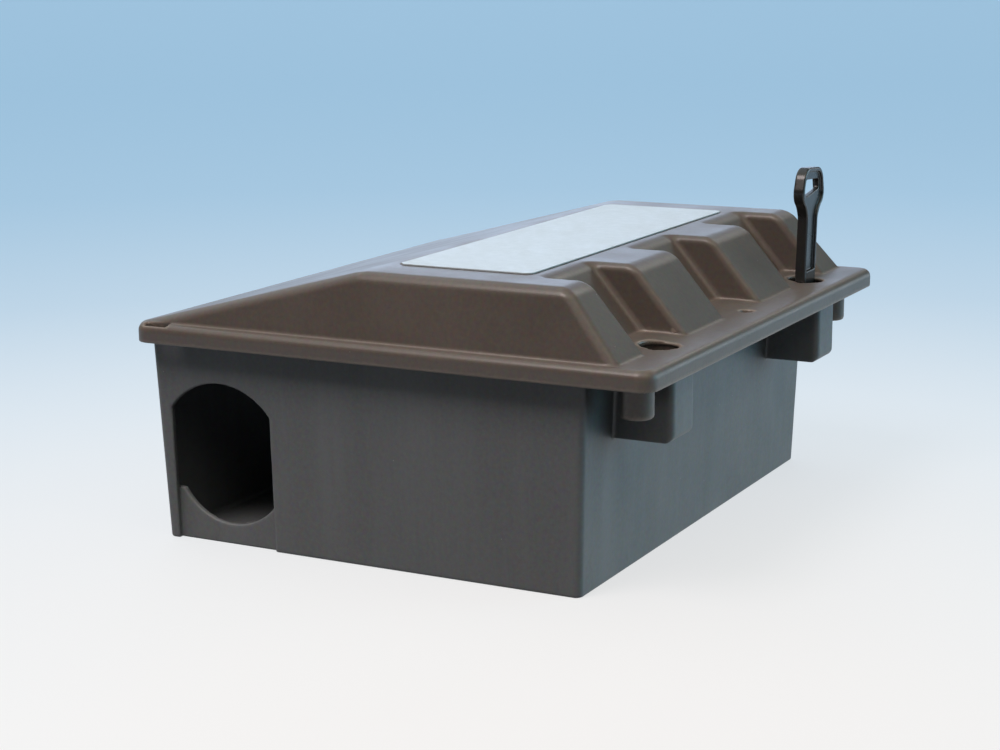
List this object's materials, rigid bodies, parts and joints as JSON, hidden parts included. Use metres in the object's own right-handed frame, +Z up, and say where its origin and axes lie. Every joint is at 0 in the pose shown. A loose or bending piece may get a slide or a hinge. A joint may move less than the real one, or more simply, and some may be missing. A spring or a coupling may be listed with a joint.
{
  "type": "bait station",
  "caption": "Lockable run-through rodent bait station: drafted base tray, hinged lid with keyed locks, tunnel, partition and bait tray with loaded rods.",
  "frame": {"origin": "middle of the overall footprint, on the surface the station stands on", "axes": "+X along the lock side, lock side faces -Y, +Z up"},
  "size_m": [0.2642, 0.2384, 0.146],
  "materials": {
    "base_plastic": "fine moulded texture, semi-matt dark grey",
    "lid_plastic": "fine moulded texture, satin dark brown",
    "label_face": "matt pale plate",
    "steel": "bright drawn wire",
    "lock_plastic": "black moulded",
    "key_plastic": "black, glossy",
    "inner_plastic": "dark grey moulded",
    "stop_rubber": "soft black",
    "bait_wax": "waxy dark red"
  },
  "bodies": {
    "base": {"base_floor": "base_plastic", "base_floor_ribs": "base_plastic", "base_front_wall": "base_plastic", "base_rear_wall": "base_plastic", "base_left_end": "base_plastic", "base_right_end": "base_plastic", "lock_housing_left": "base_plastic", "lock_housing_right": "base_plastic", "hinge_pin_left": "steel", "hinge_pin_right": "steel", "partition": "inner_plastic", "bait_tray": "inner_plastic", "bait_rod_front": "steel", "bait_rod_rear": "steel", "rod_stops_front": "stop_rubber", "rod_stops_rear": "stop_rubber", "bait_block_1": "bait_wax", "bait_block_2": "bait_wax", "bait_block_3": "bait_wax", "bait_block_4": "bait_wax", "bait_block_5": "bait_wax", "bait_block_6": "bait_wax"},
    "lid": {"lid_top": "lid_plastic", "lid_front": "lid_plastic", "lid_rear_edge": "lid_plastic", "lid_left_end": "lid_plastic", "lid_right_end": "lid_plastic", "lid_ribs": "lid_plastic", "lid_posts": "lid_plastic", "lock_seat_left": "lid_plastic", "lock_seat_right": "lid_plastic", "label": "label_face", "lock_washer_left": "steel", "lock_washer_right": "steel", "lock_retainer_left": "lock_plastic", "lock_retainer_right": "lock_plastic"},
    "lock_left": {"lock_barrel_left": "lock_plastic"},
    "lock_right": {"lock_barrel_right": "lock_plastic"},
    "key": {"key": "key_plastic"}
  },
  "joints": [
    {"name": "lid_hinge", "type": "hinge", "parent": "base", "child": "lid", "pos_m": [0, 0.1156, 0.0845], "axis": [-1, 0, 0], "range_deg": [0, 105]},
    {"name": "lock_left_turn", "type": "hinge", "parent": "lid", "child": "lock_left", "pos_m": [-0.0842, -0.1016, 0.0889], "axis": [0, 0, 1], "range_deg": [0, 90]},
    {"name": "lock_right_turn", "type": "hinge", "parent": "lid", "child": "lock_right", "pos_m": [0.0842, -0.1016, 0.0889], "axis": [0, 0, 1], "range_deg": [0, 90]},
    {"name": "key_lift", "type": "slide", "parent": "lock_right", "child": "key", "axis": [0, 0, 1], "range_m": [0, 0.06]}
  ]
}
